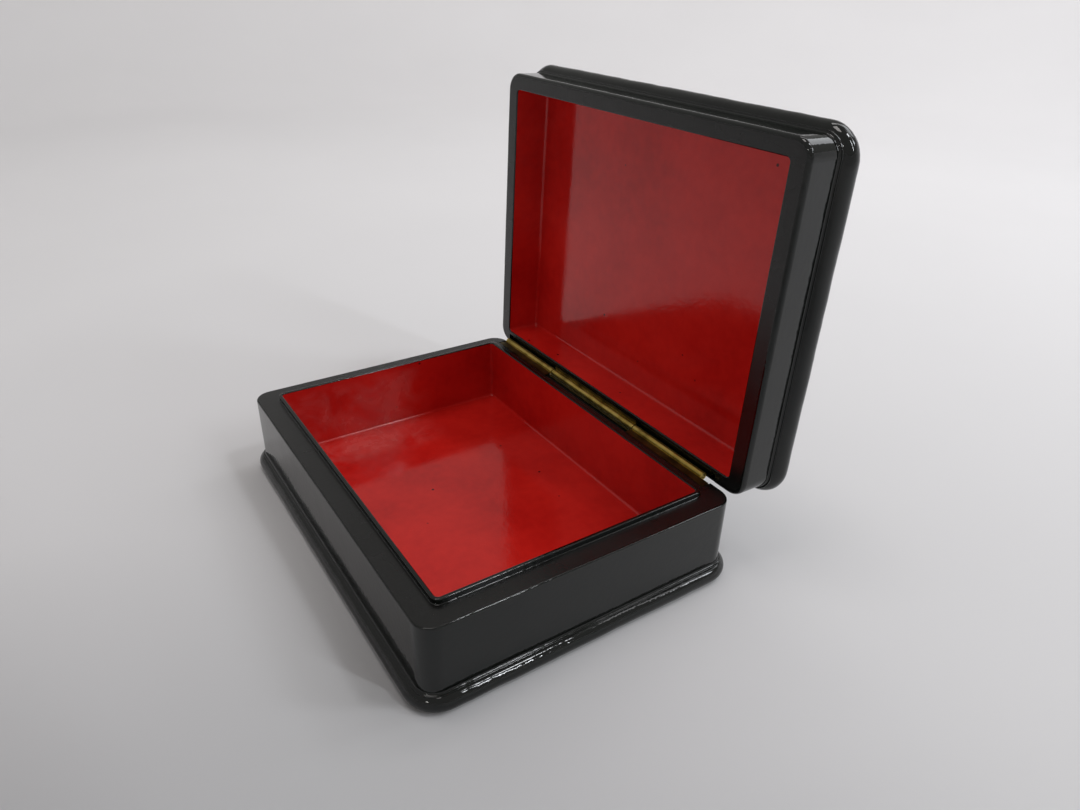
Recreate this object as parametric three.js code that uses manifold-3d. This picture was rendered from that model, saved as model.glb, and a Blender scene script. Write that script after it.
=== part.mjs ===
// A hinged trinket box of lacquered papier-mache, black outside and red inside, with its lid open.
// Millimetres, +Z up, +Y towards the hinge, +X along it. The origin is the middle of the underside.
// Every size is that of the closed box. The lid's pieces are then turned up about the hinge pin.

import * as THREE from 'three';
import { mergeVertices } from 'three/addons/utils/BufferGeometryUtils.js';
import Module from 'manifold-3d';

const wasm = await Module();
wasm.setup();

// Base: outside of the walls, and the heights of its board, rim and raised lip
const BASE_WIDTH = 100;
const BASE_DEPTH = 75;
const BOARD_THICK = 3.8;
const RIM_HEIGHT = 20.2;
const LIP_HEIGHT = 1.24;
const LIP_THICK = 0.85;
const BACK_LIP_THICK = 1.25;
const BASE_WALL_END = 5.8;
const BASE_WALL_FRONT = 5.95;
const BASE_WALL_BACK = 6.03;

// Lid: outside of its walls, wall thicknesses, and heights above its own rim
const LID_WIDTH = 101.2;
const LID_DEPTH = 75.9;
const LID_BACK_OVERHANG = 1.05;
const LID_RIM_GAP = 0.3;
const LID_WALL_END = 4.5;
const LID_WALL_FRONT = 3.98;
const LID_WALL_BACK = 3.58;
const LID_HEIGHT = 12.8;
const LID_BOARD_THICK = 5;
const LID_CEILING = 9.8;
const LID_BOARD_GAP = 0.3;
const LID_OPEN_DEGREES = 91.8;

// Edges and corners
const WALL_CORNER = 4.2;
const BOARD_CORNER = 7.4;
const INNER_CORNER = 0.9;
const BEAD_OUT = 2.1;
const BASE_RIM_EDGE = 0.4;
const LID_RIM_EDGE = 1;
const COVE = 0.5;
const CORNER_STEPS = 6;
const BEAD_STEPS = 8;
const EDGE_STEPS = 3;

// Hinge: three knuckles on one pin along X, each with a leaf tab let into a rim
const PIN_Y = 38.07;
const PIN_Z = 20.05;
const PIN_RADIUS = 0.43;
const BORE_RADIUS = 0.52;
const KNUCKLE_RADIUS = 0.95;
const KNUCKLE_SIDES = 20;
const KNUCKLE_GAP = 0.3;
const HINGE_LEFT = -45.4;
const JOINT_LEFT = -21;
const JOINT_RIGHT = 14.8;
const HINGE_RIGHT = 39.5;
const TAB_RIGHT = 42.2;
const TAB_THICK = 0.45;
const BASE_TAB_FRONT = 35.05;
const BASE_TAB_TOP = 20.15;
const LID_TAB_FRONT = 36.2;
const REBATE_PLAY = 0.3;
const TROUGH_PLAY = 0.25;

const HALF_DEPTH = BASE_DEPTH / 2;
const LID_RIM = RIM_HEIGHT + LID_RIM_GAP;
const LID_TOP = LID_RIM + LID_HEIGHT;
const LID_BACK = HALF_DEPTH + LID_BACK_OVERHANG;
const LID_MIDDLE = LID_BACK - LID_DEPTH / 2;
const WELL_BEYOND = 5;

const BLACK_LACQUER = { color: 0x0b0b0b, roughness: 0.16, metalness: 0 };
const BRASS = { color: 0xb08d46, roughness: 0.34, metalness: 1 };

// Points of a rectangle with rounded corners, counter-clockwise seen from above
function roundedOutline(width, depth, corner, middleY) {
  const points = [];
  const reachX = width / 2 - corner;
  const reachY = depth / 2 - corner;
  const middles = [[reachX, reachY], [-reachX, reachY], [-reachX, -reachY], [reachX, -reachY]];
  middles.forEach(([cornerX, cornerY], quarter) => {
    for (let step = 0; step <= CORNER_STEPS; step += 1) {
      const angle = (quarter + step / CORNER_STEPS) * Math.PI / 2;
      const x = cornerX + corner * Math.cos(angle);
      const y = middleY + cornerY + corner * Math.sin(angle);
      points.push([x, y]);
    }
  });
  return points;
}

// Closed body through outlines stacked upwards, each { z, grow }, where grow widens the first outline
function stackedBody(width, depth, corner, middleY, sections) {
  const rings = sections.map(({ z, grow }) => {
    const outline = roundedOutline(width + 2 * grow, depth + 2 * grow, corner + grow, middleY);
    return outline.map(([x, y]) => [x, y, z]);
  });
  const count = rings[0].length;
  const last = (rings.length - 1) * count;
  const faces = [];
  for (let ring = 0; ring < rings.length - 1; ring += 1) {
    for (let i = 0; i < count; i += 1) {
      const a = ring * count + i;
      const b = ring * count + (i + 1) % count;
      faces.push(a, b, b + count, a, b + count, a + count);
    }
  }
  for (let i = 1; i < count - 1; i += 1) {
    faces.push(0, i + 1, i);
    faces.push(last, last + i, last + i + 1);
  }
  const geometry = new THREE.BufferGeometry();
  geometry.setAttribute('position', new THREE.Float32BufferAttribute(rings.flat(2), 3));
  geometry.setIndex(faces);
  return geometry;
}

// Sections of a board whose edge is a half-round bead
function beadSections(bottom, thick) {
  const radius = thick / 2;
  const sections = [];
  for (let step = 0; step <= BEAD_STEPS; step += 1) {
    const angle = (step / BEAD_STEPS - 0.5) * Math.PI;
    const grow = BEAD_OUT - radius * (1 - Math.cos(angle));
    sections.push({ z: bottom + radius * (1 + Math.sin(angle)), grow });
  }
  return sections;
}

// Sections of a quarter-round edge or cove between a plain wall and its end at height z
function quarterSections(z, radius, direction, hollow) {
  const sections = [];
  for (let step = 0; step <= EDGE_STEPS; step += 1) {
    const angle = step / EDGE_STEPS * Math.PI / 2;
    const along = radius * (1 - Math.sin(angle));
    const across = radius * (1 - Math.cos(angle));
    sections.push({ z: z + direction * along, grow: hollow ? across : -across });
  }
  return sections;
}

function straightSections(bottom, top) {
  return [{ z: bottom, grow: 0 }, { z: top, grow: 0 }];
}

function solidOf(geometry) {
  geometry.deleteAttribute('normal');
  geometry.deleteAttribute('uv');
  const merged = mergeVertices(geometry);
  const vertProperties = new Float32Array(merged.attributes.position.array);
  const triVerts = new Uint32Array(merged.index.array);
  return new wasm.Manifold(new wasm.Mesh({ numProp: 3, vertProperties, triVerts }));
}

function geometryOf(solid) {
  const mesh = solid.getMesh();
  const geometry = new THREE.BufferGeometry();
  geometry.setAttribute('position', new THREE.BufferAttribute(mesh.vertProperties, 3));
  geometry.setIndex(new THREE.BufferAttribute(mesh.triVerts, 1));
  geometry.computeVertexNormals();
  return geometry;
}

// Block between two corners
function block([x0, y0, z0], [x1, y1, z1]) {
  const box = new THREE.BoxGeometry(x1 - x0, y1 - y0, z1 - z0);
  box.translate((x0 + x1) / 2, (y0 + y1) / 2, (z0 + z1) / 2);
  return solidOf(box);
}

// Round bar along the hinge pin's line
function barOnPin(x0, x1, radius, sides) {
  const bar = new THREE.CylinderGeometry(radius, radius, x1 - x0, sides);
  bar.rotateZ(Math.PI / 2);
  bar.translate((x0 + x1) / 2, PIN_Y, PIN_Z);
  return solidOf(bar);
}

// Walls of the base: a rounded frame with a raised lip inside its rim and a rebate for the hinge
function baseWalls() {
  const outside = [
    ...quarterSections(BOARD_THICK, COVE, 1, true).reverse(),
    ...quarterSections(RIM_HEIGHT, BASE_RIM_EDGE, -1, false),
  ];
  const frame = solidOf(stackedBody(BASE_WIDTH, BASE_DEPTH, WALL_CORNER, 0, outside));

  const innerWidth = BASE_WIDTH - 2 * BASE_WALL_END;
  const innerFront = -HALF_DEPTH + BASE_WALL_FRONT;
  const innerBack = HALF_DEPTH - BASE_WALL_BACK;
  const lipFront = innerFront - LIP_THICK;
  const lipBack = innerBack + BACK_LIP_THICK;
  const lipTop = RIM_HEIGHT + LIP_HEIGHT;
  const lip = solidOf(stackedBody(
    innerWidth + 2 * LIP_THICK,
    lipBack - lipFront,
    INNER_CORNER + LIP_THICK,
    (lipFront + lipBack) / 2,
    straightSections(RIM_HEIGHT - LIP_HEIGHT, lipTop),
  ));
  const inside = solidOf(stackedBody(
    innerWidth,
    innerBack - innerFront,
    INNER_CORNER,
    (innerFront + innerBack) / 2,
    straightSections(-WELL_BEYOND, lipTop + WELL_BEYOND),
  ));

  const rebateLeft = HINGE_LEFT - REBATE_PLAY;
  const rebateRight = TAB_RIGHT + REBATE_PLAY;
  const seatHeight = BASE_TAB_TOP - TAB_THICK;
  const far = HALF_DEPTH + WELL_BEYOND;
  const above = lipTop + WELL_BEYOND;
  const troughFront = PIN_Y - KNUCKLE_RADIUS - TROUGH_PLAY;
  const troughFloor = PIN_Z - KNUCKLE_RADIUS - TROUGH_PLAY;
  const seat = block([rebateLeft, BASE_TAB_FRONT - REBATE_PLAY, seatHeight], [rebateRight, far, above]);
  const trough = block([rebateLeft, troughFront, troughFloor], [rebateRight, far, above]);
  return frame.add(lip).subtract(inside).subtract(seat).subtract(trough);
}

function baseBottomBoard() {
  return solidOf(stackedBody(
    BASE_WIDTH, BASE_DEPTH, BOARD_CORNER - BEAD_OUT, 0, beadSections(0, BOARD_THICK),
  ));
}

const lidInnerWidth = LID_WIDTH - 2 * LID_WALL_END;
const lidInnerFront = LID_BACK - LID_DEPTH + LID_WALL_FRONT;
const lidInnerBack = LID_BACK - LID_WALL_BACK;

// Hollow of the lid between two heights
function lidInside(bottom, top) {
  return solidOf(stackedBody(
    lidInnerWidth,
    lidInnerBack - lidInnerFront,
    INNER_CORNER,
    (lidInnerFront + lidInnerBack) / 2,
    straightSections(bottom, top),
  ));
}

// Walls of the lid: a rounded frame with a rebate for the hinge in its back rim
function lidWalls() {
  const boardBottom = LID_TOP - LID_BOARD_THICK;
  const outside = [
    ...quarterSections(LID_RIM, LID_RIM_EDGE, 1, false).reverse(),
    ...quarterSections(boardBottom - LID_BOARD_GAP, COVE, -1, true),
  ];
  const frame = solidOf(stackedBody(LID_WIDTH, LID_DEPTH, WALL_CORNER, LID_MIDDLE, outside));
  const rebate = block(
    [HINGE_LEFT - REBATE_PLAY, LID_TAB_FRONT - REBATE_PLAY, LID_RIM - WELL_BEYOND],
    [TAB_RIGHT + REBATE_PLAY, LID_BACK + WELL_BEYOND, LID_RIM + TAB_THICK + REBATE_PLAY],
  );
  return frame.subtract(lidInside(LID_RIM - WELL_BEYOND, LID_TOP)).subtract(rebate);
}

// Top board of the lid, hollowed underneath so that the lid is as thin there as in its walls
function lidTopBoard() {
  const boardBottom = LID_TOP - LID_BOARD_THICK;
  const board = solidOf(stackedBody(
    LID_WIDTH, LID_DEPTH, BOARD_CORNER - BEAD_OUT, LID_MIDDLE, beadSections(boardBottom, LID_BOARD_THICK),
  ));
  return board.subtract(lidInside(boardBottom - WELL_BEYOND, LID_RIM + LID_CEILING));
}

// Knuckle rolled round the pin between x0 and x1, with its flat leaf tab
function knuckle(x0, x1, tab) {
  const bore = barOnPin(x0 - 1, x1 + 1, BORE_RADIUS, KNUCKLE_SIDES);
  return barOnPin(x0, x1, KNUCKLE_RADIUS, KNUCKLE_SIDES).add(tab).subtract(bore);
}

function baseKnuckle(x0, x1, tabEnd) {
  const tab = block([x0, BASE_TAB_FRONT, BASE_TAB_TOP - TAB_THICK], [x1, PIN_Y, BASE_TAB_TOP]);
  const tongueBack = PIN_Y - KNUCKLE_RADIUS;
  const tongue = block(
    [x1 - 1, BASE_TAB_FRONT, BASE_TAB_TOP - TAB_THICK],
    [tabEnd, tongueBack, BASE_TAB_TOP],
  );
  return knuckle(x0, x1, tabEnd > x1 ? tab.add(tongue) : tab);
}

function lidKnuckle(x0, x1) {
  return knuckle(x0, x1, block([x0, LID_TAB_FRONT, LID_RIM], [x1, PIN_Y, LID_RIM + TAB_THICK]));
}

// Named piece of one solid, its geometry counted from a pivot
function piece(name, solid, look, pivotY = 0, pivotZ = 0) {
  const geometry = geometryOf(solid);
  geometry.translate(0, -pivotY, -pivotZ);
  const mesh = new THREE.Mesh(geometry, new THREE.MeshStandardMaterial(look));
  mesh.name = name;
  return mesh;
}

const halfGap = KNUCKLE_GAP / 2;

const base = new THREE.Group();
base.add(piece('base_bottom_board', baseBottomBoard(), BLACK_LACQUER));
base.add(piece('base_walls', baseWalls(), BLACK_LACQUER));
base.add(piece(
  'hinge_knuckle_left', baseKnuckle(HINGE_LEFT, JOINT_LEFT - halfGap, JOINT_LEFT - halfGap), BRASS,
));
base.add(piece('hinge_knuckle_right', baseKnuckle(JOINT_RIGHT + halfGap, HINGE_RIGHT, TAB_RIGHT), BRASS));
base.add(piece('hinge_pin', barOnPin(HINGE_LEFT, HINGE_RIGHT, PIN_RADIUS, KNUCKLE_SIDES), BRASS));

const lid = new THREE.Group();
lid.position.set(0, PIN_Y, PIN_Z);
lid.rotation.x = -THREE.MathUtils.degToRad(LID_OPEN_DEGREES);
lid.add(piece('lid_walls', lidWalls(), BLACK_LACQUER, PIN_Y, PIN_Z));
lid.add(piece('lid_top_board', lidTopBoard(), BLACK_LACQUER, PIN_Y, PIN_Z));
lid.add(piece(
  'hinge_knuckle_middle', lidKnuckle(JOINT_LEFT + halfGap, JOINT_RIGHT - halfGap), BRASS, PIN_Y, PIN_Z,
));

const box = new THREE.Group();
box.add(base, lid);

export default box;
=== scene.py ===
"""A small hinged trinket box of lacquered papier-mache, black outside, red inside, its lid up.

The sizes are millimetres of the closed box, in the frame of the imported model. The lid's pieces are
modelled closed and then turned up about the hinge pin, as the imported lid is.
"""

import math
from collections import namedtuple

import bmesh
import bpy
from mathutils import Matrix, Vector


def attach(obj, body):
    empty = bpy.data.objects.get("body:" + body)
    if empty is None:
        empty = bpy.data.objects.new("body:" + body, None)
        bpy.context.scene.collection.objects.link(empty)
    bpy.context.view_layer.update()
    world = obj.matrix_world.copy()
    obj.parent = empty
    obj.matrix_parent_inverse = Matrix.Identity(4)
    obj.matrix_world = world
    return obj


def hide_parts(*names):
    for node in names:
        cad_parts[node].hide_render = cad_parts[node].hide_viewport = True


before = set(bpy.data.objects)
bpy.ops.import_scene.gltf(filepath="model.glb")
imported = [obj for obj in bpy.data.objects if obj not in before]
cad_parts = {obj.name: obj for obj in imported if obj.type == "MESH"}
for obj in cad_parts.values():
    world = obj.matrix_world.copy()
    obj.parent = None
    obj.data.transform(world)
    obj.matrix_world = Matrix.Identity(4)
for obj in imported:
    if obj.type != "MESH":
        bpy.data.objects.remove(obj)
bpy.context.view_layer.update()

MM = 0.001

# Base
BASE_HALF = 50
BASE_FRONT, BASE_BACK = -37.5, 37.5
BOARD_THICK = 3.8
RIM = 20.2
LIP_TOP = 21.44
LIP_HALF = 45.05
LIP_FRONT, LIP_BACK = -32.4, 32.72
WELL_HALF = 44.2
WELL_FRONT, WELL_BACK = -31.55, 31.47

# Lid, closed
LID_HALF = 50.6
LID_FRONT, LID_BACK = -37.35, 38.55
LID_RIM = 20.5
LID_BOARD = 28.3
LID_TOP = 33.3
HOLLOW_HALF = 46.1
HOLLOW_FRONT, HOLLOW_BACK = -33.37, 34.97
CEILING = 30.3
LID_OPEN_DEGREES = 91.8

# Edges and corners
WALL_CORNER = 4.2
BOARD_CORNER = 5.3
WELL_CORNER = 0.9
LIP_CORNER = 1.75
SHARPEST_CORNER = 0.06
BEAD_OUT = 2.1
CORNER_STEPS = 10
EDGE_STEPS = 6
BEAD_STEPS = 16
COVE = 0.5
COVE_LIP = 0.12
BASE_RIM_EDGE = 0.35
LID_RIM_EDGE = 1.0
LIP_FOOT = 0.2
LIP_EDGE = 0.25
HOLLOW_EDGE = 0.3

# The red lacquer pools in a hollow round where walls meet floor or ceiling, and its skin runs on
# over the board in a thin flange
POOL = 0.7
FLANGE = 0.5
SKIN = 0.012

# How far the walls reach into the boards, and where the boards' red starts behind the walls
BASE_SUNK, WELL_SUNK = 0.2, 0.3
LID_SUNK, HOLLOW_SUNK, COVE_SUNK = 0.4, 0.2, 0.1
LID_SEAT_OUT, LID_SEAT_DEEP = 1.6, 0.5
BASE_SEAM, LID_SEAM = 0.3, 1

# Unevenness of the hand-laid outside: cuts along a side, depth and size of the lumps, and the
# heights between which they lie. A wall's outside is what lies beyond OUTSIDE_X or OUTSIDE_Y
LONG_SIDE = 20
WALL_CUTS, WALL_UNEVEN, WALL_LUMP = 29, 0.12, 9
BEAD_CUTS, BASE_BEAD_UNEVEN, LID_BEAD_UNEVEN, BEAD_LUMP = 35, 0.22, 0.24, 5
OUTSIDE_X, OUTSIDE_Y = 49, 36.5
BASE_WALL_SPAN = (4.6, RIM - 0.1)
BASE_BEAD_SPAN = (0.4, 3.75)
LID_WALL_SPAN = (LID_RIM + 0.1, 27.5)
LID_BEAD_SPAN = (LID_BOARD + 0.4, LID_TOP - 0.1)

# Two things nearer than this count as level, and cuts overlap by it
HAIR = 0.01
# Edges sharper than these angles stay sharp when a piece is shaded smooth
WALL_SMOOTH, HINGE_SMOOTH = 40, 30

# Hinge
PIN_Y, PIN_Z = 38.07, 20.05
PIN_RADIUS = 0.43
KNUCKLE_RADIUS = 0.95
SHEET = 0.45
HINGE_LEFT, HINGE_RIGHT, TAB_RIGHT = -45.4, 39.5, 42.2
JOINT_LEFT, JOINT_RIGHT = -21, 14.8
JOINT_GAP = 0.15
BASE_TAB_FRONT, BASE_TAB_TOP = 35.05, 20.15
LID_TAB_FRONT = 36.2
REBATE_PLAY = 0.3
TROUGH_FRONT, TROUGH_FLOOR = 36.87, 18.85
MIDDLE_TROUGH_FRONT = 37.05
LID_REBATE_FRONT, LID_REBATE_TOP = 35.9, 21.25
REBATE_ROUND = 0.14
CUT_BACK, CUT_TOP, CUT_BELOW = 42, 24, 4
SHEET_ROUND = 0.07
BEND = 1.0
BEND_STEPS, ROLL_STEPS = 5, 32
BASE_ROLL_END, LID_ROLL_END = 178, 203
TONGUE_ROOT, TONGUE_GAP = 1, 0.05
PIN_DOME = 0.16

# Lacquer. The finest orange peel, under 0.5 mm across, wouldn't show: it is drawn coarser
PEEL_SIZE, PEEL_DEPTH = 1.1, 0.022
LUMP_SIZE, LUMP_DEPTH = 1.6, 0.045
BLACK_WAVES, RED_WAVES = 0.06, 0.05
END_RIM_FROM = 45.4
# Where the blush starts and where it is full, along each axis
BLUSH_REACH = {"X": (-27, -35), "Z": (21, 18), "Y": (12, 0)}
# Distances from the pin where the leaves' tarnish starts and where it is full
LEAF_FROM, LEAF_FULL = 0.98, 1.25

# Camera: lens and sensor, roll in degrees, place and direction
CAMERA_LENS, SENSOR_WIDTH = 26.358, 36
CAMERA_ROLL = 1.55
CAMERA_PLACE = (142.035, -76.292, 120.833)
CAMERA_AHEAD = (-0.72325, 0.48795, -0.48868)

# Paper round the box and card over the camera, in metres
PAPER_FLAT, PAPER_TURN, PAPER_STEPS = 0.6, 0.45, 10
CARD_RADIUS, CARD_PLACE = 0.178, (0.15, -0.17, 0.2)

# One rounded rectangle of a stacked body, with the finish of the band after it
Outline = namedtuple("Outline", "half front back corner height finish")


def linear(code, alpha=1.0):
    """An sRGB hex colour as the linear numbers that shaders take."""
    parts = [int(code[i:i + 2], 16) / 255 for i in (1, 3, 5)]
    light = [p / 12.92 if p <= 0.04045 else ((p + 0.055) / 1.055) ** 2.4 for p in parts]
    return (*light, alpha)


def add(tree, kind, inputs=(), **settings):
    """A node with its settings, and its inputs filled or linked."""
    made = tree.nodes.new(kind)
    for name, value in settings.items():
        setattr(made, name, value)
    for name, value in dict(inputs).items():
        if isinstance(value, bpy.types.NodeSocket):
            tree.links.new(value, made.inputs[name])
        else:
            made.inputs[name].default_value = value
    return made


def ramp(tree, value, stops):
    """A colour ramp over a value, through (place, hex colour or grey)."""
    made = add(tree, "ShaderNodeValToRGB", {"Fac": value})
    elements = made.color_ramp.elements
    while len(elements) < len(stops):
        elements.new(0.5)
    for element, (place, colour) in zip(elements, stops):
        element.position = place
        element.color = linear(colour) if isinstance(colour, str) else (colour, colour, colour, 1)
    return made.outputs["Color"]


def new_material(name):
    made = bpy.data.materials.new(name)
    made.use_nodes = True
    made.node_tree.nodes.clear()
    return made, made.node_tree


def per_mm(size):
    """A texture's scale for a pattern of that size in millimetres."""
    return 1 / (size * MM)


def finish_surface(material, tree, **sockets):
    inputs = {name.replace("_", " "): value for name, value in sockets.items()}
    surface = add(tree, "ShaderNodeBsdfPrincipled", inputs)
    add(tree, "ShaderNodeOutputMaterial", {"Surface": surface.outputs["BSDF"]})
    return material


def peel_and_waves(tree, place, peel_size, peel_depth, wave_depth):
    """Bump of brushed lacquer: orange peel, the slow waves of the board under it, and dust nibs."""
    waves = add(tree, "ShaderNodeTexNoise", {"Vector": place, "Scale": per_mm(11), "Detail": 1.5})
    peel = add(tree, "ShaderNodeTexNoise", {
        "Vector": place, "Scale": per_mm(peel_size), "Detail": 2.0})
    dust = add(tree, "ShaderNodeTexVoronoi", {"Vector": place, "Scale": per_mm(7.5)})
    nibs = ramp(tree, dust.outputs["Distance"], [(0.0, 1.0), (0.028, 0.0)])
    first = add(tree, "ShaderNodeBump", {
        "Strength": 1.0, "Distance": wave_depth * MM, "Height": waves.outputs["Fac"]})
    second = add(tree, "ShaderNodeBump", {
        "Strength": 1.0, "Distance": peel_depth * MM, "Height": peel.outputs["Fac"],
        "Normal": first.outputs["Normal"]})
    third = add(tree, "ShaderNodeBump", {
        "Strength": 0.6, "Distance": 0.03 * MM, "Height": nibs, "Normal": second.outputs["Normal"]})
    return third.outputs["Normal"]


def gloss_black_lacquer(name, peel_size, peel_depth):
    """Black enamel brushed on papier-mache and varnished: near mirror gloss with orange peel."""
    material, tree = new_material(name)
    place = add(tree, "ShaderNodeTexCoord").outputs["Object"]
    haze = add(tree, "ShaderNodeTexNoise", {"Vector": place, "Scale": per_mm(6), "Detail": 4.0})
    rough = ramp(tree, haze.outputs["Fac"], [(0.35, 0.03), (0.7, 0.07)])
    tone = ramp(tree, haze.outputs["Fac"], [(0.3, "#050906"), (0.75, "#090E0A")])
    normal = peel_and_waves(tree, place, peel_size, peel_depth, BLACK_WAVES)
    return finish_surface(material, tree, Base_Color=tone, Roughness=rough, IOR=1.5, Normal=normal)


def rubbed_black_lacquer(name, turn):
    """The same lacquer on the rims, rubbed flat across the edge: satin, with fine cross lines.

    The pattern is turned back about the pin by the degrees that its piece is turned up.
    """
    material, tree = new_material(name)
    coords = add(tree, "ShaderNodeTexCoord").outputs["Object"]
    pin = Vector((0, PIN_Y, PIN_Z)) * MM
    back = Matrix.Rotation(math.radians(turn), 3, "X")
    shift = pin - back @ pin
    place = add(tree, "ShaderNodeMapping", {
        "Vector": coords, "Location": shift,
        "Rotation": (math.radians(turn), 0, 0)}).outputs["Vector"]
    parts = add(tree, "ShaderNodeSeparateXYZ", {"Vector": place})
    # The end rims start where |x| passes the well's end, and their lines run along X instead of Y
    reach = add(tree, "ShaderNodeMath", {0: parts.outputs["X"]}, operation="ABSOLUTE")
    at_end = add(tree, "ShaderNodeMath", {
        0: reach.outputs[0], 1: END_RIM_FROM * MM}, operation="GREATER_THAN")
    # Rubbing leaves lines under 0.1 mm apart, which wouldn't show: they are drawn 0.45 mm apart
    fine, long = per_mm(0.45), per_mm(9)
    on_sides = add(tree, "ShaderNodeVectorMath", {
        0: place, 1: (fine, long, long)}, operation="MULTIPLY")
    on_ends = add(tree, "ShaderNodeVectorMath", {
        0: place, 1: (long, fine, long)}, operation="MULTIPLY")
    chosen = add(
        tree, "ShaderNodeMix",
        {"Factor": at_end.outputs[0], 4: on_sides.outputs[0], 5: on_ends.outputs[0]},
        data_type="VECTOR")
    lines = add(tree, "ShaderNodeTexNoise", {
        "Vector": chosen.outputs[1], "Scale": 1.0, "Detail": 2.0})
    specks = add(tree, "ShaderNodeTexNoise", {"Vector": place, "Scale": per_mm(0.5), "Detail": 3.0})
    worn = add(tree, "ShaderNodeTexNoise", {"Vector": place, "Scale": per_mm(14), "Detail": 3.0})
    rough = ramp(tree, worn.outputs["Fac"], [(0.35, 0.24), (0.7, 0.36)])
    tone = ramp(tree, specks.outputs["Fac"], [(0.35, "#090908"), (0.8, "#131311")])
    first = add(tree, "ShaderNodeBump", {
        "Strength": 1.0, "Distance": 0.014 * MM, "Height": lines.outputs["Fac"]})
    second = add(tree, "ShaderNodeBump", {
        "Strength": 1.0, "Distance": 0.006 * MM, "Height": specks.outputs["Fac"],
        "Normal": first.outputs["Normal"]})
    return finish_surface(
        material, tree, Base_Color=tone, Roughness=rough, IOR=1.5, Normal=second.outputs["Normal"])


def red_lacquer():
    """Vermilion lacquer brushed on inside: deep red under clear gloss, with small dark specks.

    At the left end of the base the gloss has blushed in soft whitish clouds.
    """
    material, tree = new_material("red_lacquer_brushed")
    place = add(tree, "ShaderNodeTexCoord").outputs["Object"]
    broad = add(tree, "ShaderNodeTexNoise", {"Vector": place, "Scale": per_mm(22), "Detail": 3.0})
    fine = add(tree, "ShaderNodeTexNoise", {"Vector": place, "Scale": per_mm(2.2), "Detail": 4.0})
    mixed = add(tree, "ShaderNodeMath", {0: fine.outputs["Fac"], 1: 0.35, 2: broad.outputs["Fac"]},
                operation="MULTIPLY_ADD")
    tone = ramp(tree, mixed.outputs[0], [(0.45, "#B71915"), (0.62, "#C61E19"), (0.85, "#D4251E")])
    specks = add(tree, "ShaderNodeTexVoronoi", {"Vector": place, "Scale": per_mm(9)})
    dark = ramp(tree, specks.outputs["Distance"], [(0.0, 1.0), (0.03, 1.0), (0.045, 0.0)])
    spotted = add(tree, "ShaderNodeMix", {
        "Factor": dark, 6: tone, 7: linear("#3A0605")}, data_type="RGBA")

    parts = add(tree, "ShaderNodeSeparateXYZ", {"Vector": place})
    clouds = add(tree, "ShaderNodeTexNoise", {
        "Vector": place, "Scale": per_mm(8), "Detail": 5.0, "Roughness": 0.62, "Distortion": 0.6})
    blush = ramp(tree, clouds.outputs["Fac"], [(0.38, 0.0), (0.62, 1.0)])
    for axis, (start, full) in BLUSH_REACH.items():
        near = add(
            tree, "ShaderNodeMapRange",
            {"Value": parts.outputs[axis], "From Min": start * MM, "From Max": full * MM},
            interpolation_type="SMOOTHSTEP")
        blush = add(tree, "ShaderNodeMath", {
            0: blush, 1: near.outputs[0]}, operation="MULTIPLY").outputs[0]
    pale = add(tree, "ShaderNodeMath", {0: blush, 1: 0.12}, operation="MULTIPLY")
    blushed = add(tree, "ShaderNodeMix", {
        "Factor": pale.outputs[0], 6: spotted.outputs[2], 7: linear("#E8B4AE")}, data_type="RGBA")
    gloss = ramp(tree, broad.outputs["Fac"], [(0.35, 0.07), (0.7, 0.14)])
    rough = add(tree, "ShaderNodeMath", {0: blush, 1: 0.22, 2: gloss}, operation="MULTIPLY_ADD")
    normal = peel_and_waves(tree, place, PEEL_SIZE, PEEL_DEPTH, RED_WAVES)
    return finish_surface(
        material, tree, Base_Color=blushed.outputs[2], Roughness=rough.outputs[0], IOR=1.46,
        Normal=normal)


def rolled_brass():
    """Rolled sheet brass, unlacquered and aged.

    The knuckles are rubbed to a soft sheen; the flat leaves are coloured darker.
    """
    material, tree = new_material("brass_rolled_aged")
    place = add(tree, "ShaderNodeTexCoord").outputs["Object"]
    # Lines of the rolling, under 0.1 mm apart, wouldn't show: they are drawn 0.35 mm apart
    stretched = add(tree, "ShaderNodeVectorMath", {
        0: place, 1: (per_mm(5), per_mm(0.35), per_mm(0.35))}, operation="MULTIPLY")
    drawn = add(tree, "ShaderNodeTexNoise", {
        "Vector": stretched.outputs[0], "Scale": 1.0, "Detail": 3.0})
    age = add(tree, "ShaderNodeTexNoise", {"Vector": place, "Scale": per_mm(3.5), "Detail": 5.0})
    tone = ramp(tree, age.outputs["Fac"], [(0.3, "#86733C"), (0.5, "#B59C50"), (0.75, "#CAB36A")])
    rough = ramp(tree, drawn.outputs["Fac"], [(0.3, 0.30), (0.7, 0.46)])
    bump = add(tree, "ShaderNodeBump", {
        "Strength": 1.0, "Distance": 0.01 * MM, "Height": drawn.outputs["Fac"]})
    # The leaves are what lies farther from the pin than the knuckles reach
    from_pin = add(tree, "ShaderNodeVectorMath", {
        0: place, 1: (0, 1, 1), 2: (0, -PIN_Y * MM, -PIN_Z * MM)}, operation="MULTIPLY_ADD")
    distance = add(tree, "ShaderNodeVectorMath", {0: from_pin.outputs[0]}, operation="LENGTH")
    on_leaf = add(tree, "ShaderNodeMapRange", {
        "Value": distance.outputs["Value"], "From Min": LEAF_FROM * MM,
        "From Max": LEAF_FULL * MM, "To Max": 0.9}, interpolation_type="SMOOTHSTEP")
    # The flat leaves are coloured darker than the knuckles
    leaf_tone = ramp(tree, age.outputs["Fac"], [(0.3, "#352C18"), (0.75, "#665633")])
    leaves_darkened = add(tree, "ShaderNodeMix", {
        "Factor": on_leaf.outputs[0], 6: tone, 7: leaf_tone}, data_type="RGBA")
    return finish_surface(
        material, tree, Base_Color=leaves_darkened.outputs[2], Roughness=rough, Metallic=1.0,
        Normal=bump.outputs["Normal"])


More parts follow.
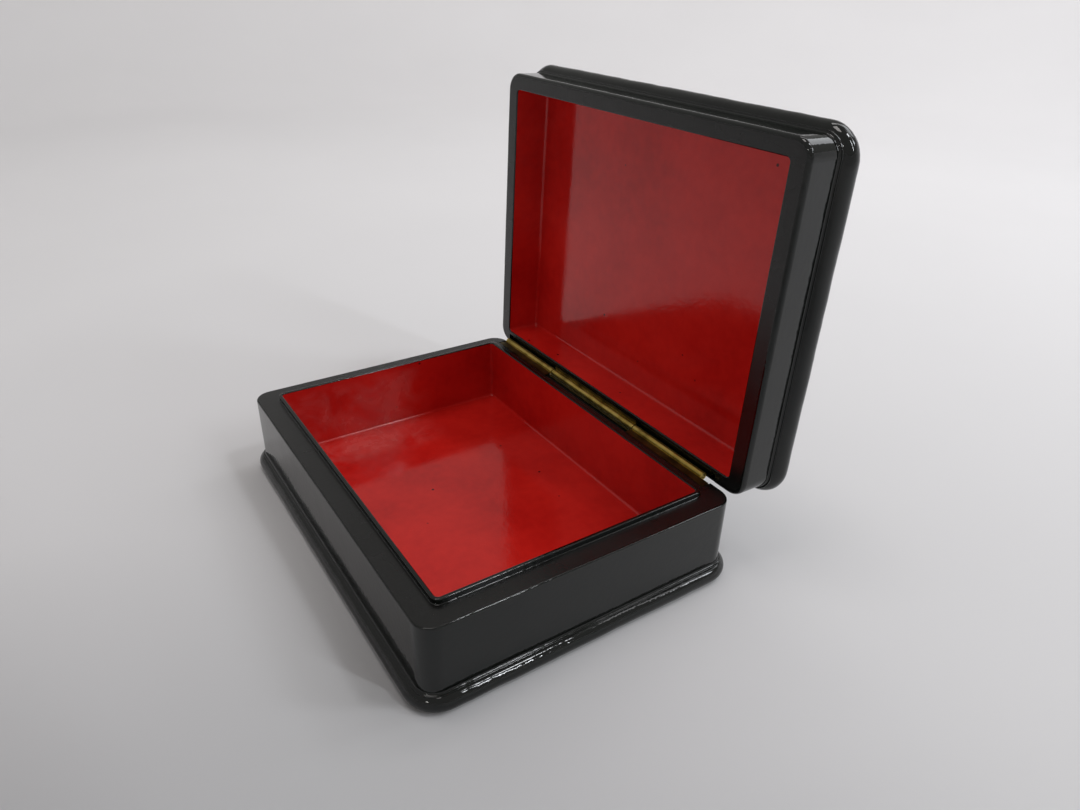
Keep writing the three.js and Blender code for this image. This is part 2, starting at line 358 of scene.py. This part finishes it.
def pale_paper():
    """Matt grey-white background paper. Its tooth is too fine to show, so only its tone drifts."""
    material, tree = new_material("background_paper")
    place = add(tree, "ShaderNodeTexCoord").outputs["Object"]
    drift = add(tree, "ShaderNodeTexNoise", {"Vector": place, "Scale": per_mm(180), "Detail": 3.0})
    tone = ramp(tree, drift.outputs["Fac"], [(0.3, "#DCDBDC"), (0.7, "#DFDEDF")])
    return finish_surface(material, tree, Base_Color=tone, Roughness=0.85)


# The finishes of a body, by their place in BASE_LOOKS and LID_LOOKS
GLOSS, RUBBED, RED, EDGE = 0, 1, 2, 3
BLACK = gloss_black_lacquer("black_lacquer_varnished", PEEL_SIZE, PEEL_DEPTH)
# On beads and edges the lacquer gathered in small lumps, which break their highlights up
BLACK_EDGE = gloss_black_lacquer("black_lacquer_lumpy_on_edges", LUMP_SIZE, LUMP_DEPTH)
RED_INSIDE = red_lacquer()
BASE_RUBBED = rubbed_black_lacquer("black_lacquer_rubbed_base", 0)
LID_RUBBED = rubbed_black_lacquer("black_lacquer_rubbed_lid", LID_OPEN_DEGREES)
BASE_LOOKS = (BLACK, BASE_RUBBED, RED_INSIDE, BLACK_EDGE)
LID_LOOKS = (BLACK, LID_RUBBED, RED_INSIDE, BLACK_EDGE)
BRASS = rolled_brass()
PAPER = pale_paper()


def dress(piece, *looks):
    for look in looks:
        piece.data.materials.append(look)


def select_only(piece):
    bpy.ops.object.select_all(action="DESELECT")
    piece.select_set(True)
    bpy.context.view_layer.objects.active = piece


def open_sheet(name, looks):
    """An empty piece in edit mode, its vertices marked by the outline that they belong to."""
    bpy.ops.object.select_all(action="DESELECT")
    bpy.ops.mesh.primitive_plane_add(size=MM)
    piece = bpy.context.object
    piece.name = name
    piece.data.name = name
    dress(piece, *looks)
    bpy.ops.object.mode_set(mode="EDIT")
    bpy.ops.mesh.select_all(action="SELECT")
    bpy.ops.mesh.delete(type="VERT")
    bmesh.from_edit_mesh(piece.data).verts.layers.int.new("outline")
    return piece


def pick(piece, test, kind="EDGE"):
    """Selects the edges or faces that pass a test, in edit mode."""
    bpy.ops.mesh.select_mode(type=kind)
    bpy.ops.mesh.select_all(action="DESELECT")
    mesh = bmesh.from_edit_mesh(piece.data)
    found = 0
    for part in (mesh.edges if kind == "EDGE" else mesh.faces):
        if test(part):
            part.select_set(True)
            found += 1
    mesh.select_flush_mode()
    bmesh.update_edit_mesh(piece.data)
    return found


def draw_outline(piece, number, outline, lift):
    """One rounded rectangle of edges, from a plane whose corners are bevelled round."""
    bpy.ops.mesh.select_mode(type="VERT")
    bpy.ops.mesh.select_all(action="DESELECT")
    middle = Vector((0, (outline.front + outline.back) / 2, outline.height + lift)) * MM
    bpy.ops.mesh.primitive_plane_add(size=MM, location=middle)
    bpy.ops.transform.resize(
        value=(2 * outline.half, outline.back - outline.front, 1), center_override=middle)
    bpy.ops.mesh.bevel(
        offset=outline.corner * MM, offset_type="OFFSET", segments=CORNER_STEPS, profile=0.5,
        affect="VERTICES")
    mesh = bmesh.from_edit_mesh(piece.data)
    layer = mesh.verts.layers.int["outline"]
    for vertex in mesh.verts:
        if vertex.select:
            vertex[layer] = number
    bmesh.update_edit_mesh(piece.data)
    bpy.ops.mesh.delete(type="ONLY_FACE")


def on_outlines(piece, *numbers):
    """A test for the edges that lie along these outlines."""
    layer = bmesh.from_edit_mesh(piece.data).verts.layers.int["outline"]

    def along(edge):
        first, second = (vertex[layer] for vertex in edge.verts)
        return first == second and first in numbers
    return along


def paint_between(piece, first, second, finish):
    """Gives the faces between two outlines their finish."""
    mesh = bmesh.from_edit_mesh(piece.data)
    layer = mesh.verts.layers.int["outline"]
    for face in mesh.faces:
        if {v[layer] for v in face.verts} == {first, second}:
            face.material_index = finish
    bmesh.update_edit_mesh(piece.data)


def stack(name, looks, outlines, caps=None):
    """A closed body through outlines, from the first to the last.

    It is capped at both ends, in the two finishes given, or else its last outline joins its first.
    """
    piece = open_sheet(name, looks)
    before = None
    for number, outline in enumerate(outlines, start=1):
        # Two outlines in one plane can be joined crosswise, so the second is drawn 1 mm above
        # it and lowered
        level = before is not None and abs(outline.height - before.height) < HAIR
        lift = 1 if level else 0
        draw_outline(piece, number, outline, lift)
        if before is not None:
            pick(piece, on_outlines(piece, number - 1, number))
            bpy.ops.mesh.bridge_edge_loops()
            paint_between(piece, number - 1, number, before.finish)
        if lift:
            pick(piece, on_outlines(piece, number))
            bpy.ops.transform.translate(value=(0, 0, -lift * MM))
        before = outline
    last = len(outlines)
    if caps:
        for end, finish in zip((1, last), caps):
            pick(piece, on_outlines(piece, end))
            bpy.ops.mesh.edge_face_add()
            paint_between(piece, end, end, finish)
    else:
        pick(piece, on_outlines(piece, 1, last))
        bpy.ops.mesh.bridge_edge_loops()
        paint_between(piece, 1, last, before.finish)
    bpy.ops.mesh.select_all(action="SELECT")
    bpy.ops.mesh.normals_make_consistent(inside=False)
    bpy.ops.object.mode_set(mode="OBJECT")
    return piece


def grown(half, front, back, corner):
    """Outlines that are offset from one rounded rectangle."""
    def outline(grow, height, finish=GLOSS):
        return Outline(
            half=half + grow, front=front - grow, back=back + grow,
            corner=max(corner + grow, SHARPEST_CORNER), height=height, finish=finish)
    return outline


def quarter(outline, centre, radius, start, finish=GLOSS, steps=EDGE_STEPS):
    """A quarter round in steps, about a centre of (grow, height), from a start angle in degrees.

    It turns clockwise if the radius is given as negative.
    """
    turn = math.copysign(90, radius)
    angles = [math.radians(start + turn * i / steps) for i in range(steps + 1)]
    size = abs(radius)
    return [outline(centre[0] + size * math.cos(a), centre[1] + size * math.sin(a), finish)
            for a in angles]


def base_walls_outlines():
    outer = grown(BASE_HALF, BASE_FRONT, BASE_BACK, WALL_CORNER)
    lip = grown(LIP_HALF, LIP_FRONT, LIP_BACK, LIP_CORNER)
    well = grown(WELL_HALF, WELL_FRONT, WELL_BACK, WELL_CORNER)
    rows = [outer(COVE + COVE_LIP, BOARD_THICK - BASE_SUNK)]
    rows += quarter(outer, (COVE, BOARD_THICK), COVE_LIP, 0, EDGE, steps=3)
    rows += quarter(outer, (COVE, BOARD_THICK + COVE_LIP + COVE), -COVE, -90, EDGE)[1:]
    rows[-1] = outer(0, BOARD_THICK + COVE_LIP + COVE)
    rows += quarter(outer, (-BASE_RIM_EDGE, RIM - BASE_RIM_EDGE), BASE_RIM_EDGE, 0, EDGE)
    rows[-1] = outer(-BASE_RIM_EDGE, RIM, RUBBED)
    rows += quarter(lip, (LIP_FOOT, RIM + LIP_FOOT), -LIP_FOOT, -90, EDGE, steps=3)
    rows += quarter(lip, (-LIP_EDGE, LIP_TOP - LIP_EDGE), LIP_EDGE, 0, EDGE, steps=4)
    rows += quarter(well, (LIP_EDGE, LIP_TOP - LIP_EDGE), LIP_EDGE, 90, EDGE, steps=4)
    rows[-1] = well(0, LIP_TOP - LIP_EDGE, RED)
    rows += quarter(well, (-POOL, BOARD_THICK + SKIN + POOL), -POOL, 0, RED)
    rows.append(well(-POOL - FLANGE, BOARD_THICK + SKIN, RED))
    rows.append(well(-POOL - FLANGE, BOARD_THICK - WELL_SUNK, GLOSS))
    return rows


def lid_walls_outlines():
    outer = grown(LID_HALF, LID_FRONT, LID_BACK, WALL_CORNER)
    hollow = grown(HOLLOW_HALF, HOLLOW_FRONT, HOLLOW_BACK, WELL_CORNER)
    rows = [outer(COVE + COVE_LIP, LID_BOARD + LID_SUNK)]
    rows += quarter(outer, (COVE, LID_BOARD + COVE_SUNK), -COVE_LIP, 0, EDGE, steps=3)
    rows += quarter(outer, (COVE, LID_BOARD + COVE_SUNK - COVE_LIP - COVE), COVE, 90, EDGE)[1:]
    rows[-1] = outer(0, LID_BOARD + COVE_SUNK - COVE_LIP - COVE)
    rows += quarter(outer, (-LID_RIM_EDGE, LID_RIM + LID_RIM_EDGE), -LID_RIM_EDGE, 0, EDGE)
    rows[-1] = outer(-LID_RIM_EDGE, LID_RIM, RUBBED)
    rows += quarter(hollow, (HOLLOW_EDGE, LID_RIM + HOLLOW_EDGE), -HOLLOW_EDGE, -90, steps=4)
    rows[-1] = hollow(0, LID_RIM + HOLLOW_EDGE, RED)
    rows += quarter(hollow, (-POOL, CEILING - SKIN - POOL), POOL, 0, RED)
    rows.append(hollow(-POOL - FLANGE, CEILING - SKIN, RED))
    rows.append(hollow(-POOL - FLANGE, CEILING + HOLLOW_SUNK, GLOSS))
    rows.append(hollow(LID_SEAT_OUT, CEILING + HOLLOW_SUNK, GLOSS))
    rows.append(hollow(LID_SEAT_OUT, LID_BOARD + LID_SEAT_DEEP, GLOSS))
    return rows


def bead_outlines(half, front, back, bottom, thick):
    """The half-round bead round a board's edge, from its underside to its top."""
    edge = grown(half, front, back, BOARD_CORNER)
    radius = thick / 2
    rows = []
    for i in range(BEAD_STEPS + 1):
        angle = math.pi * (i / BEAD_STEPS - 0.5)
        grow = BEAD_OUT - radius * (1 - math.cos(angle))
        finish = EDGE if i < BEAD_STEPS else GLOSS
        rows.append(edge(grow, bottom + radius * (1 + math.sin(angle)), finish))
    return rows


def base_board_outlines():
    well = grown(WELL_HALF, WELL_FRONT, WELL_BACK, WELL_CORNER)
    bead = bead_outlines(BASE_HALF, BASE_FRONT, BASE_BACK, 0, BOARD_THICK)
    return bead + [well(BASE_SEAM, BOARD_THICK)]


def lid_board_outlines():
    hollow = grown(HOLLOW_HALF, HOLLOW_FRONT, HOLLOW_BACK, WELL_CORNER)
    bead = bead_outlines(LID_HALF, LID_FRONT, LID_BACK, LID_BOARD, LID_TOP - LID_BOARD)
    return [hollow(LID_SEAM, CEILING), hollow(LID_SEAM, LID_BOARD)] + bead


def use_modifier(piece, kind, **settings):
    """Adds a modifier and applies it."""
    select_only(piece)
    bpy.ops.object.modifier_add(type=kind)
    modifier = piece.modifiers[-1]
    for name, value in settings.items():
        setattr(modifier, name, value)
    bpy.ops.object.modifier_apply(modifier=modifier.name)


def smooth(piece, degrees=WALL_SMOOTH):
    """Smooth shading with flat faces kept flat."""
    select_only(piece)
    bpy.ops.object.shade_smooth_by_angle(angle=math.radians(degrees))
    use_modifier(piece, "WEIGHTED_NORMAL", keep_sharp=True, weight=80)


def turn_up(piece):
    """Turns a closed lid piece up about the hinge pin, in its mesh."""
    select_only(piece)
    bpy.ops.object.mode_set(mode="EDIT")
    bpy.ops.mesh.select_all(action="SELECT")
    bpy.ops.transform.rotate(
        value=math.radians(LID_OPEN_DEGREES), orient_axis="X",
        center_override=Vector((0, PIN_Y, PIN_Z)) * MM)
    bpy.ops.object.mode_set(mode="OBJECT")


def block(name, low, high):
    """A block between two corners, left in edit mode."""
    bpy.ops.object.select_all(action="DESELECT")
    middle = (Vector(low) + Vector(high)) / 2 * MM
    size = Vector(high) - Vector(low)
    bpy.ops.mesh.primitive_cube_add(size=MM)
    made = bpy.context.object
    made.name = name
    bpy.ops.object.mode_set(mode="EDIT")
    bpy.ops.mesh.select_all(action="SELECT")
    bpy.ops.transform.resize(value=size, center_override=(0, 0, 0))
    bpy.ops.transform.translate(value=middle)
    return made


def cut_away(piece, cutter):
    use_modifier(piece, "BOOLEAN", operation="DIFFERENCE", solver="EXACT", object=cutter)
    bpy.data.objects.remove(cutter)


def base_rebates():
    """The hinge's place in the back rim: a seat for the tabs, deeper behind for the knuckles."""
    left, right = HINGE_LEFT - REBATE_PLAY, TAB_RIGHT + REBATE_PLAY
    seat = BASE_TAB_TOP - SHEET
    deeper = (0, 0, (TROUGH_FLOOR - seat) * MM)
    spans = ((left, JOINT_LEFT, TROUGH_FRONT), (JOINT_LEFT, JOINT_RIGHT, MIDDLE_TROUGH_FRONT),
             (JOINT_RIGHT, right, TROUGH_FRONT))
    cutters = []
    for start, end, trough in spans:
        cutter = block(
            "rebate", (start - HAIR, BASE_TAB_FRONT - REBATE_PLAY, seat),
            (end, CUT_BACK, CUT_TOP))
        bpy.ops.mesh.bisect(plane_co=Vector((0, trough, 0)) * MM, plane_no=(0, 1, 0))
        pick(cutter, lambda f: f.normal.z < -0.9 and f.calc_center_median().y > trough * MM, "FACE")
        bpy.ops.mesh.extrude_region_move(TRANSFORM_OT_translate={"value": deeper})
        bpy.ops.object.mode_set(mode="OBJECT")
        cutters.append(cutter)
    return cutters


def lid_rebate():
    """The hinge's place in the lid's rim, open at the back."""
    left, right = HINGE_LEFT - REBATE_PLAY, TAB_RIGHT + REBATE_PLAY
    cutter = block(
        "rebate", (left, LID_REBATE_FRONT, LID_RIM - CUT_BELOW),
        (right, CUT_BACK, LID_REBATE_TOP))
    bpy.ops.object.mode_set(mode="OBJECT")
    return cutter


def rolled_knuckle(name, left, right, tab_front, tab_middle, side, last_angle):
    """A leaf tab of sheet brass, bent towards the pin and rolled round it.

    The roll passes under the pin first where side is 1, and over it where side is -1.
    """
    bpy.ops.object.select_all(action="DESELECT")
    bpy.ops.mesh.primitive_plane_add(size=MM)
    piece = bpy.context.object
    piece.name = name
    piece.data.name = name
    bpy.ops.object.mode_set(mode="EDIT")
    bpy.ops.mesh.select_all(action="SELECT")
    bpy.ops.transform.resize(value=(right - left, SHEET, 1), center_override=(0, 0, 0))
    bpy.ops.mesh.bevel(
        offset=SHEET_ROUND * MM, offset_type="OFFSET", segments=3, affect="VERTICES")
    bpy.ops.transform.rotate(value=math.radians(90), orient_axis="X", center_override=(0, 0, 0))
    bpy.ops.transform.translate(value=Vector(((left + right) / 2, tab_front, tab_middle)) * MM)

    # The bend and the roll are arcs that touch, so their places follow from their radii
    roll = KNUCKLE_RADIUS - SHEET / 2
    below = side * (PIN_Z - tab_middle)
    reach = math.sqrt((BEND + roll) ** 2 - (BEND + below) ** 2)
    bend_start = PIN_Y - reach
    bend_angle = math.pi / 2 - math.atan2(BEND + below, reach)
    first_angle = math.radians(270) - bend_angle
    sweep = math.radians(360 + last_angle) - first_angle

    bpy.ops.mesh.extrude_region_move(
        TRANSFORM_OT_translate={"value": (0, (bend_start - tab_front) * MM, 0)})
    # Spin turns clockwise seen from +X
    bpy.ops.mesh.spin(
        steps=BEND_STEPS, angle=side * bend_angle, axis=(1, 0, 0),
        center=Vector((0, bend_start, tab_middle - side * BEND)) * MM)
    bpy.ops.mesh.spin(
        steps=ROLL_STEPS, angle=-side * sweep, axis=(1, 0, 0),
        center=Vector((0, PIN_Y, PIN_Z)) * MM)
    bpy.ops.mesh.select_all(action="SELECT")
    bpy.ops.mesh.normals_make_consistent(inside=False)
    bpy.ops.object.mode_set(mode="OBJECT")
    return piece


def leaf_tongue():
    """The end of the right leaf, which runs past its knuckle."""
    tongue = block(
        "tongue", (HINGE_RIGHT - TONGUE_ROOT, BASE_TAB_FRONT, BASE_TAB_TOP - SHEET + HAIR),
        (TAB_RIGHT, PIN_Y - KNUCKLE_RADIUS - TONGUE_GAP, BASE_TAB_TOP - HAIR))
    bpy.ops.mesh.bevel(offset=SHEET_ROUND * MM, segments=3, affect="EDGES")
    bpy.ops.object.mode_set(mode="OBJECT")
    return tongue


def domed_pin():
    """The pin through the knuckles, its ends worn round."""
    bpy.ops.object.select_all(action="DESELECT")
    middle = Vector(((HINGE_LEFT + HINGE_RIGHT) / 2, PIN_Y, PIN_Z)) * MM
    bpy.ops.mesh.primitive_cylinder_add(
        vertices=28, radius=PIN_RADIUS * MM, depth=(HINGE_RIGHT - HINGE_LEFT) * MM, location=middle,
        rotation=(0, math.radians(90), 0))
    pin = bpy.context.object
    pin.name = "hinge_pin_domed"
    bpy.ops.object.transform_apply(location=True, rotation=True, scale=True)
    bpy.ops.object.mode_set(mode="EDIT")
    pick(pin, lambda f: abs(f.normal.x) > 0.9, "FACE")
    bpy.ops.mesh.bevel(offset=PIN_DOME * MM, segments=4, affect="EDGES")
    bpy.ops.object.mode_set(mode="OBJECT")
    return pin


def cut_long_edges(piece, cuts):
    """Divides the long sides of a piece's outlines, so that they can be uneven."""
    select_only(piece)
    bpy.ops.object.mode_set(mode="EDIT")
    pick(piece, lambda edge: edge.calc_length() > LONG_SIDE * MM)
    bpy.ops.mesh.subdivide(number_cuts=cuts, smoothness=0)
    bpy.ops.object.mode_set(mode="OBJECT")


def between(low, high):
    """A test for places between two heights."""
    return lambda place: low < place.z < high


def outside(low, high):
    """A test for places between two heights, on the outside of the walls."""
    return lambda place: low < place.z < high and (
        abs(place.x) > OUTSIDE_X or abs(place.y) > OUTSIDE_Y)


def make_uneven(piece, test, depth, size):
    """Slow lumps of hand-laid papier-mache and lacquer, on the vertices that pass a test."""
    group = piece.vertex_groups.new(name="uneven")
    group.add([v.index for v in piece.data.vertices if test(v.co / MM)], 1.0, "REPLACE")
    lumps = bpy.data.textures.new("lumps", "CLOUDS")
    lumps.noise_scale = size * MM
    lumps.noise_depth = 1
    use_modifier(
        piece, "DISPLACE", texture=lumps, strength=depth * MM, mid_level=0.5, vertex_group="uneven",
        texture_coords="LOCAL")
    piece.vertex_groups.clear()


def soften_rebate(piece, front, level):
    """Rounds the edges that the hinge's cut leaves in a rim, as the lacquer over them is."""
    select_only(piece)
    bpy.ops.object.mode_set(mode="EDIT")

    def cut_edge(edge):
        ends = [v.co / MM for v in edge.verts]
        return all(abs(p.y - front) < HAIR and abs(p.z - level) < HAIR for p in ends)
    pick(piece, cut_edge)
    bpy.ops.mesh.bevel(offset=REBATE_ROUND * MM, segments=3, affect="EDGES", clamp_overlap=True)
    bpy.ops.object.mode_set(mode="OBJECT")


# Base
walls = stack("base_walls_lacquered", BASE_LOOKS, base_walls_outlines())
cut_long_edges(walls, WALL_CUTS)
make_uneven(walls, outside(*BASE_WALL_SPAN), WALL_UNEVEN, WALL_LUMP)
for rebate in base_rebates():
    cut_away(walls, rebate)
soften_rebate(walls, BASE_TAB_FRONT - REBATE_PLAY, RIM)
smooth(walls)

board = stack("base_board_lacquered", BASE_LOOKS, base_board_outlines(), caps=(GLOSS, RED))
cut_long_edges(board, BEAD_CUTS)
make_uneven(board, between(*BASE_BEAD_SPAN), BASE_BEAD_UNEVEN, BEAD_LUMP)
smooth(board)

knuckle_left = rolled_knuckle(
    "knuckle_left_rolled", HINGE_LEFT, JOINT_LEFT - JOINT_GAP,
    BASE_TAB_FRONT, BASE_TAB_TOP - SHEET / 2, 1, BASE_ROLL_END)
knuckle_right = rolled_knuckle(
    "knuckle_right_rolled", JOINT_RIGHT + JOINT_GAP, HINGE_RIGHT,
    BASE_TAB_FRONT, BASE_TAB_TOP - SHEET / 2, 1, BASE_ROLL_END)
tongue = leaf_tongue()
use_modifier(knuckle_right, "BOOLEAN", operation="UNION", solver="EXACT", object=tongue)
bpy.data.objects.remove(tongue)
pin = domed_pin()
for piece in (knuckle_left, knuckle_right, pin):
    dress(piece, BRASS)
    smooth(piece, HINGE_SMOOTH)

# Lid, modelled closed
lid_walls = stack("lid_walls_lacquered", LID_LOOKS, lid_walls_outlines())
cut_long_edges(lid_walls, WALL_CUTS)
make_uneven(lid_walls, outside(*LID_WALL_SPAN), WALL_UNEVEN, WALL_LUMP)
cut_away(lid_walls, lid_rebate())
soften_rebate(lid_walls, LID_REBATE_FRONT, LID_RIM)

lid_board = stack("lid_board_lacquered", LID_LOOKS, lid_board_outlines(), caps=(RED, GLOSS))
cut_long_edges(lid_board, BEAD_CUTS)
make_uneven(lid_board, between(*LID_BEAD_SPAN), LID_BEAD_UNEVEN, BEAD_LUMP)

knuckle_middle = rolled_knuckle(
    "knuckle_middle_rolled", JOINT_LEFT + JOINT_GAP, JOINT_RIGHT - JOINT_GAP,
    LID_TAB_FRONT, LID_RIM + SHEET / 2, -1, LID_ROLL_END)
dress(knuckle_middle, BRASS)
for piece, degrees in (
        (lid_walls, WALL_SMOOTH), (lid_board, WALL_SMOOTH), (knuckle_middle, HINGE_SMOOTH)):
    turn_up(piece)
    smooth(piece, degrees)

for piece, body, slot, node in (
        (walls, "base", "black_lacquer", "base_walls"),
        (board, "base", "black_lacquer", "base_bottom_board"),
        (knuckle_left, "base", "hinge_brass", "hinge_knuckle_left"),
        (knuckle_right, "base", "hinge_brass", "hinge_knuckle_right"),
        (pin, "base", "hinge_brass", "hinge_pin"),
        (lid_walls, "lid", "black_lacquer", "lid_walls"),
        (lid_board, "lid", "black_lacquer", "lid_top_board"),
        (knuckle_middle, "lid", "hinge_brass", "hinge_knuckle_middle")):
    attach(piece, body)
    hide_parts(node)

# Floor: pale paper that turns up all round, far outside the box
bpy.ops.object.select_all(action="DESELECT")
bpy.ops.mesh.primitive_circle_add(vertices=96, radius=PAPER_FLAT)
floor = bpy.context.object
floor.name = "paper_floor"
bpy.ops.object.mode_set(mode="EDIT")
pick(floor, lambda edge: True)
reach = PAPER_FLAT
for step in range(1, PAPER_STEPS + 1):
    angle = math.pi / 2 * step / PAPER_STEPS
    wider = PAPER_FLAT + PAPER_TURN * math.sin(angle)
    higher = PAPER_TURN * (math.cos(angle - math.pi / 2 / PAPER_STEPS) - math.cos(angle))
    bpy.ops.mesh.extrude_region_move(TRANSFORM_OT_translate={"value": (0, 0, higher)})
    bpy.ops.transform.resize(value=(wider / reach, wider / reach, 1), center_override=(0, 0, 0))
    reach = wider
pick(floor, lambda edge: edge.verts[0].co.z == edge.verts[1].co.z == 0)
bpy.ops.mesh.edge_face_add()
bpy.ops.mesh.select_all(action="SELECT")
bpy.ops.mesh.normals_make_consistent(inside=True)
bpy.ops.object.mode_set(mode="OBJECT")
dress(floor, PAPER)
smooth(floor)

# Camera, at the photograph's angle
camera_data = bpy.data.cameras.new("camera")
camera_data.sensor_width = SENSOR_WIDTH
camera_data.lens = CAMERA_LENS
camera_data.clip_start = 0.005
camera = bpy.data.objects.new("camera", camera_data)
bpy.context.scene.collection.objects.link(camera)
level = Vector(CAMERA_AHEAD).to_track_quat("-Z", "Y").to_matrix()
turn = level @ Matrix.Rotation(math.radians(CAMERA_ROLL), 3, "Z")
camera.matrix_world = Matrix.Translation(Vector(CAMERA_PLACE) * MM) @ turn.to_4x4()
bpy.context.scene.camera = camera

# Soft studio light: a dim pale room, a panel overhead, a window and two panels behind, two more
# lights for the paper behind the box, and two narrow lamps, on the right and at the front right
world = bpy.data.worlds.new("studio")
world.use_nodes = True
bpy.context.scene.world = world
room = world.node_tree.nodes["Background"]
room.inputs["Color"].default_value = linear("#FCFAF7")
room.inputs["Strength"].default_value = 0.38


def soft_light(name, place, target, width, height, power, colour):
    """A panel of light that faces a target, in metres and watts."""
    data = bpy.data.lights.new(name, "AREA")
    data.shape = "RECTANGLE"
    data.size, data.size_y = width, height
    data.energy = power
    data.color = linear(colour)[:3]
    light = bpy.data.objects.new(name, data)
    light.location = place
    light.rotation_euler = (Vector(target) - Vector(place)).to_track_quat("-Z", "Y").to_euler()
    bpy.context.scene.collection.objects.link(light)


soft_light("overhead", (-0.05, -0.1, 0.9), (0, 0, 0), 0.28, 0.28, 1.3, "#FFF9F7")
soft_light("window", (0.4, 0.5, 0.5), (0.15, 0.2, 0), 0.1, 0.14, 0.5, "#F4F9FF")
soft_light("high_panel", (0.35, 0.35, 0.9), (0.2, 0.25, 0), 0.12, 0.12, 1.0, "#F8FBFF")
soft_light("back_panel", (0, 0.75, 0.7), (0, 0.3, 0), 0.4, 0.4, 1.3, "#F8FBFF")
soft_light("backdrop_light", (0.3, 0.5, 0.7), (-0.3, 1.2, 0.2), 0.4, 0.4, 1.4, "#FDFCFF")
soft_light("backdrop_light_left", (-0.2, 0.3, 0.75), (-1, 0.6, 0.15), 0.4, 0.4, 1.9, "#FFFCFC")
soft_light("right_lamp", (0.6, 0.27, 0.58), (0, 0, 0), 0.02, 0.3, 0.8, "#F6FAFF")
soft_light("front_lamp", (0.33, -0.64, 0.54), (0, 0, 0), 0.06, 0.03, 0.3, "#FFFDF8")

# A black card over the camera, which only shades the near side of the floor and isn't seen
bpy.ops.object.select_all(action="DESELECT")
bpy.ops.mesh.primitive_circle_add(
    vertices=48, radius=CARD_RADIUS, fill_type="NGON", location=CARD_PLACE)
card = bpy.context.object
card.name = "black_card"
dress(card, BLACK)
card.visible_camera = False
card.visible_glossy = False
bpy.context.scene.view_settings.view_transform = "Standard"
